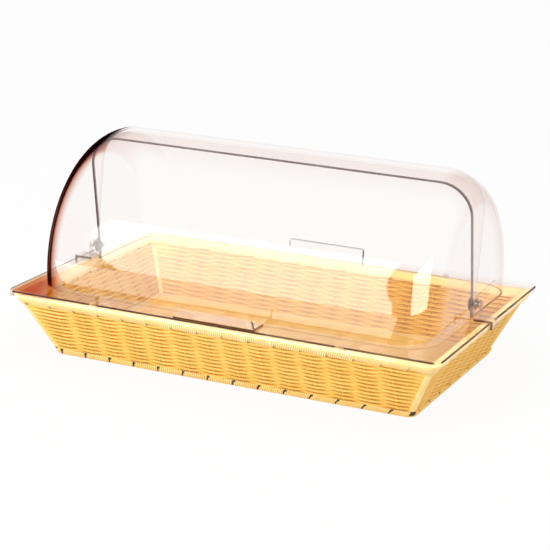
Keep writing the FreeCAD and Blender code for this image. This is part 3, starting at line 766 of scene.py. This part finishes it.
def border(name, low, high, stepped, node, finish):
    """A wound border round the basket: wraps, with a lacing gap beside each stake, sunk and darkened with
    painted shadow.
    """
    middle_z = (low + high) / 2
    length = sum(4 * (reach - BASKET_CORNER) for reach in outer_half(middle_z))
    length += 2 * math.pi * BASKET_CORNER
    wraps = round(length / WRAP_PITCH)
    depth_half = BORDER_DEPTH / 2
    if stepped:
        tick_from, tick_to, darkness = TOP_TICK_FROM, TOP_TICK_TO, TOP_TICK_DARKNESS
    else:
        tick_from, tick_to, darkness = BASE_TICK_FROM, BASE_TICK_TO, BASE_TICK_DARKNESS

    def place(share, turn):
        angle = turn * 2 * math.pi
        rise, out = squared(math.sin(angle)), squared(math.cos(angle))
        distance = (share * length) % length
        along, bend_share = round_basket(distance, 0, middle_z, middle_z)[1:]
        stake_share = 0 if along is None else (along - TICK_SHIFT) / STAKE_PITCH - 0.5
        from_stake = (stake_share - math.floor(stake_share)) * STAKE_PITCH
        foot = low
        if stepped and along is not None:
            foot += LACE_STEP * (1 - from_stake / STAKE_PITCH)
        z_half = (high - foot) / 2
        crest = wrap_crest(share * wraps)
        sunk = WRAP_GROOVE * (1 - crest)
        z = (high + foot) / 2 + rise * (z_half - sunk)
        side_way = from_stake if from_stake < STAKE_PITCH / 2 else from_stake - STAKE_PITCH
        tall = (z - low) / (high - low)
        half = TICK_HALF + (TICK_HOOK if tall > TICK_HOOK_FROM and side_way > 0 else 0)
        off_tick = abs(side_way - (z - middle_z) * TICK_SLANT)
        # Ticks: sunk into the face, and given painted shadow by their share of darkness
        if along is None:
            in_corner = out > 0 and tall > CORNER_TICK_FROM and abs(bend_share - 0.5) < CORNER_TICK_HALF
            in_tick = float(in_corner and not stepped)
        else:
            in_tick = darkness * (out > TICK_FACING and off_tick < half and tick_from < tall < tick_to)
        inset = depth_half - out * (depth_half - sunk - TICK_DEPTH * in_tick)
        slanted = (distance + WRAP_SLANT * rise * out) % length
        return round_basket(slanted, inset, z, middle_z)[0], crest, in_tick

    shape = bmesh.new()
    sleeve(shape, wraps * WRAP_STEPS, BORDER_SIDES, place)
    add_piece(name, mesh_from(name, shape), [finish], "basket", [node])


def corner_ribs(finish):
    """Four wound ribs up the corners, from one border to the other."""
    low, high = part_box("corner_wraps")
    shape = bmesh.new()
    for sign_x in (-1, 1):
        for sign_y in (-1, 1):

            def place(share, turn):
                z = low.z + share * (high.z - low.z)
                angle = turn * 2 * math.pi
                reach = outer_half(z)
                crest = wrap_crest(share * RIB_WRAPS + turn)
                radius = RIB_RADIUS - RIB_GROOVE * (1 - crest)
                centre = Vector((sign_x * (reach[0] - POST_INSET), sign_y * (reach[1] - POST_INSET), z))
                return centre + Vector((math.cos(angle), math.sin(angle), 0)) * radius, crest, 0.0

            sleeve(shape, RIB_WRAPS * WRAP_STEPS, RIB_SIDES, place)
    bmesh.ops.remove_doubles(shape, verts=shape.verts, dist=SEAM)
    bmesh.ops.holes_fill(shape, edges=[edge for edge in shape.edges if edge.is_boundary], sides=0)
    mesh = mesh_from("corner_ribs", shape)
    add_piece("corner_ribs", mesh, [finish], "basket", ["corner_wraps"])


def cover_half(name, node, past_top, way, finishes):
    """Half of the cover: its profile spun about the pins, from below over the top, and cut at its seat."""
    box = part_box(node)
    end = box[1].x
    radius = box[1].z - AXIS_Z
    bend = COVER_CORNER - (FRONT_RADIUS - radius)
    turn = math.pi + past_top
    steps = round(turn / SHELL_TURN_STEP)
    shape = bmesh.new()
    profile = [(end, PIN_HOLE), (end, EAR_RADIUS)]
    for n in range(SHELL_CORNER_STEPS + 1):
        angle = n / SHELL_CORNER_STEPS * math.pi / 2
        profile.append((end - bend + bend * math.cos(angle), radius - bend + bend * math.sin(angle)))
    profile += [(-x, r) for x, r in reversed(profile)]
    points = [shape.verts.new((x, 0, AXIS_Z - r)) for x, r in profile]
    edges = [shape.edges.new(pair) for pair in zip(points, points[1:])]
    pivot = dict(cent=(0, 0, AXIS_Z), axis=(way, 0, 0))
    for ear in (edges[0], edges[-1]):
        copied = bmesh.ops.duplicate(shape, geom=[*ear.verts, ear])["geom"]
        rest = turn - 2 * math.pi
        bmesh.ops.spin(shape, geom=copied, angle=rest, steps=round(-rest / SHELL_TURN_STEP), **pivot)
    bmesh.ops.spin(shape, geom=points + edges, angle=turn, steps=steps, **pivot)
    whole = [*shape.verts, *shape.edges, *shape.faces]
    bmesh.ops.bisect_plane(shape, geom=whole, plane_co=(0, 0, SEAT_Z), plane_no=(0, 0, 1), clear_inner=True)
    carrier = bpy.data.objects.new(name, mesh_from(name, shape))
    for finish in finishes:
        carrier.data.materials.append(finish)
    wall = carrier.modifiers.new("wall", "SOLIDIFY")
    wall.thickness = SHELL_WALL
    wall.offset = -1
    wall.use_even_offset = True
    wall.material_offset_rim = 1
    wall.material_offset = 2
    mesh = settle(carrier)
    add_piece(name, mesh, finishes, "front_half" if way < 0 else "rear_half", [node])
    mesh.set_sharp_from_angle(angle=SHARP_EDGE)


def dress_nodes():
    """The CAD nodes that stay in sight, each with its finish: its own, or that of its kind."""
    steel, clear, pivots = steel_finish(), moulding_finish(), pivot_finish()
    finishes = {
        "cover_frame": frame_finish(), "front_grip": front_grip_finish(), "rear_grip": rear_grip_finish(),
        "bracket": bracket_finish(), "pads": clear, "washer": clear, "pin": pivots, "cap": pivots,
        "stakes": stake_finish(), "wire": steel, "wires": steel,
    }
    for name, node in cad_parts.items():
        if node.hide_render:
            continue
        kind = next(word for word in (name, *name.split("_")) if word in finishes)
        node.data.materials.clear()
        node.data.materials.append(finishes[kind])


def camera():
    """The photograph's own view."""
    azimuth, elevation, roll = (math.radians(angle) for angle in (AZIMUTH, ELEVATION, ROLL))
    back = Vector((math.sin(azimuth) * math.cos(elevation), -math.cos(azimuth) * math.cos(elevation),
                   math.sin(elevation)))
    right = Vector((0, 0, 1)).cross(back).normalized()
    up = back.cross(right)
    turned_right = right * math.cos(roll) + up * math.sin(roll)
    turned_up = up * math.cos(roll) - right * math.sin(roll)
    lens = bpy.data.cameras.new("camera")
    lens.sensor_width = SENSOR
    lens.lens = FOCAL_PIXELS * SENSOR / PICTURE
    lens.shift_x = (PICTURE / 2 - PICTURE_CENTRE[0]) / PICTURE
    lens.shift_y = (PICTURE_CENTRE[1] - PICTURE / 2) / PICTURE
    view = bpy.data.objects.new("camera", lens)
    view.matrix_world = Matrix.Translation(CAMERA_TARGET + back * CAMERA_DISTANCE) @ Matrix(
        (turned_right, turned_up, back)).transposed().to_4x4()
    bpy.context.scene.collection.objects.link(view)
    bpy.context.scene.camera = view


def lamp(name, place, aim, size, power, colour, lights_matt=True, mirrored=True):
    """A soft rectangular lamp that the camera doesn't see. It lights matt faces, is mirrored, or both."""
    light = bpy.data.lights.new(name, "AREA")
    light.shape = "RECTANGLE"
    light.size, light.size_y = size
    light.energy = power
    light.color = colour
    holder = bpy.data.objects.new(name, light)
    holder.visible_camera = False
    holder.visible_diffuse = lights_matt
    holder.visible_glossy = mirrored
    direction = Vector(aim) - Vector(place)
    turn = direction.to_track_quat("-Z", "Y").to_matrix().to_4x4()
    holder.matrix_world = Matrix.Translation(place) @ turn
    bpy.context.scene.collection.objects.link(holder)


def studio():
    """A pale floor under even white light, brightest from the front left."""
    floor_shape = bmesh.new()
    bmesh.ops.create_grid(floor_shape, x_segments=1, y_segments=1, size=FLOOR_SPREAD)
    bmesh.ops.translate(floor_shape, vec=(0, 0, -FLOOR_GAP), verts=floor_shape.verts)
    mesh = bpy.data.meshes.new("studio_floor")
    floor_shape.to_mesh(mesh)
    floor = bpy.data.objects.new("studio_floor", mesh)
    bpy.context.scene.collection.objects.link(floor)
    finish = Finish("studio_floor")
    matt = finish.node("ShaderNodeBsdfDiffuse", values={"Color": FLOOR_GREY})
    white = finish.node("ShaderNodeEmission", values={"Color": WHITE, "Strength": 1.0})
    mesh.materials.append(finish.close(finish.blend(finish.seen_directly() * FLOOR_WHITENING, matt, white)))

    air = Finish("studio_air", world=True)
    strength = air.seen_directly() * (1 - AIR_LIGHT) + AIR_LIGHT
    sky = air.node("ShaderNodeBackground", values={"Color": WHITE, "Strength": strength})
    bpy.context.scene.world = air.close(sky)

    lamp("key", KEY_PLACE, KEY_AIM, KEY_SIZE, KEY_POWER, KEY_WHITE, mirrored=False)
    lamp("shine", SHINE_PLACE, KEY_AIM, KEY_SIZE, SHINE_POWER, KEY_WHITE, lights_matt=False)
    lamp("fill", FILL_PLACE, FILL_AIM, FILL_SIZE, FILL_POWER, FILL_GOLD, mirrored=False)
    lamp("strip", STRIP_PLACE, STRIP_AIM, STRIP_SIZE, STRIP_POWER, STRIP_WHITE, lights_matt=False)
    lamp("card", CARD_PLACE, CARD_AIM, CARD_SIZE, CARD_POWER, KEY_WHITE, lights_matt=False)


bpy.context.scene.view_settings.view_transform = "Standard"
camera()
studio()

long_weave = weave_finish("long_wall_strand_gold", "y")
short_weave = weave_finish("short_wall_strand_gold", "x")
WALLS = {"front": (0, -1), "right": (1, 0), "rear": (0, 1), "left": (-1, 0)}
for side, outward in WALLS.items():
    wall_weave(side, outward, short_weave if outward[0] else long_weave)
floor_weave(floor_finish())
wound = wrapped_finish("wrapped_cane_pale", 0.1)
border("top_border", RIM_LOW, RIM_CORNER.z, True, "rim_wrap", wound)
border("bottom_border", 0.0, BASE_HIGH, False, "base_wrap", wrapped_finish("wrapped_cane_gold", 0.5))
corner_ribs(wound)
HALVES = (("front", FRONT_PAST_TOP, -1, 0.1), ("rear", REAR_PAST_TOP, 1, 1.0))
for side, past_top, way, cut_share in HALVES:
    faces = [cover_finish(side + "_cover_outside", OUTSIDE_SHINE, past_top, way, cut_share * 0.8),
             cut_edge_finish(side + "_cover_edge", cut_share),
             cover_finish(side + "_cover_inside", INSIDE_SHINE, past_top, way, cut_share * 0.8)]
    cover_half(side + "_cover", side + "_shell", past_top, way, faces)
dress_nodes()
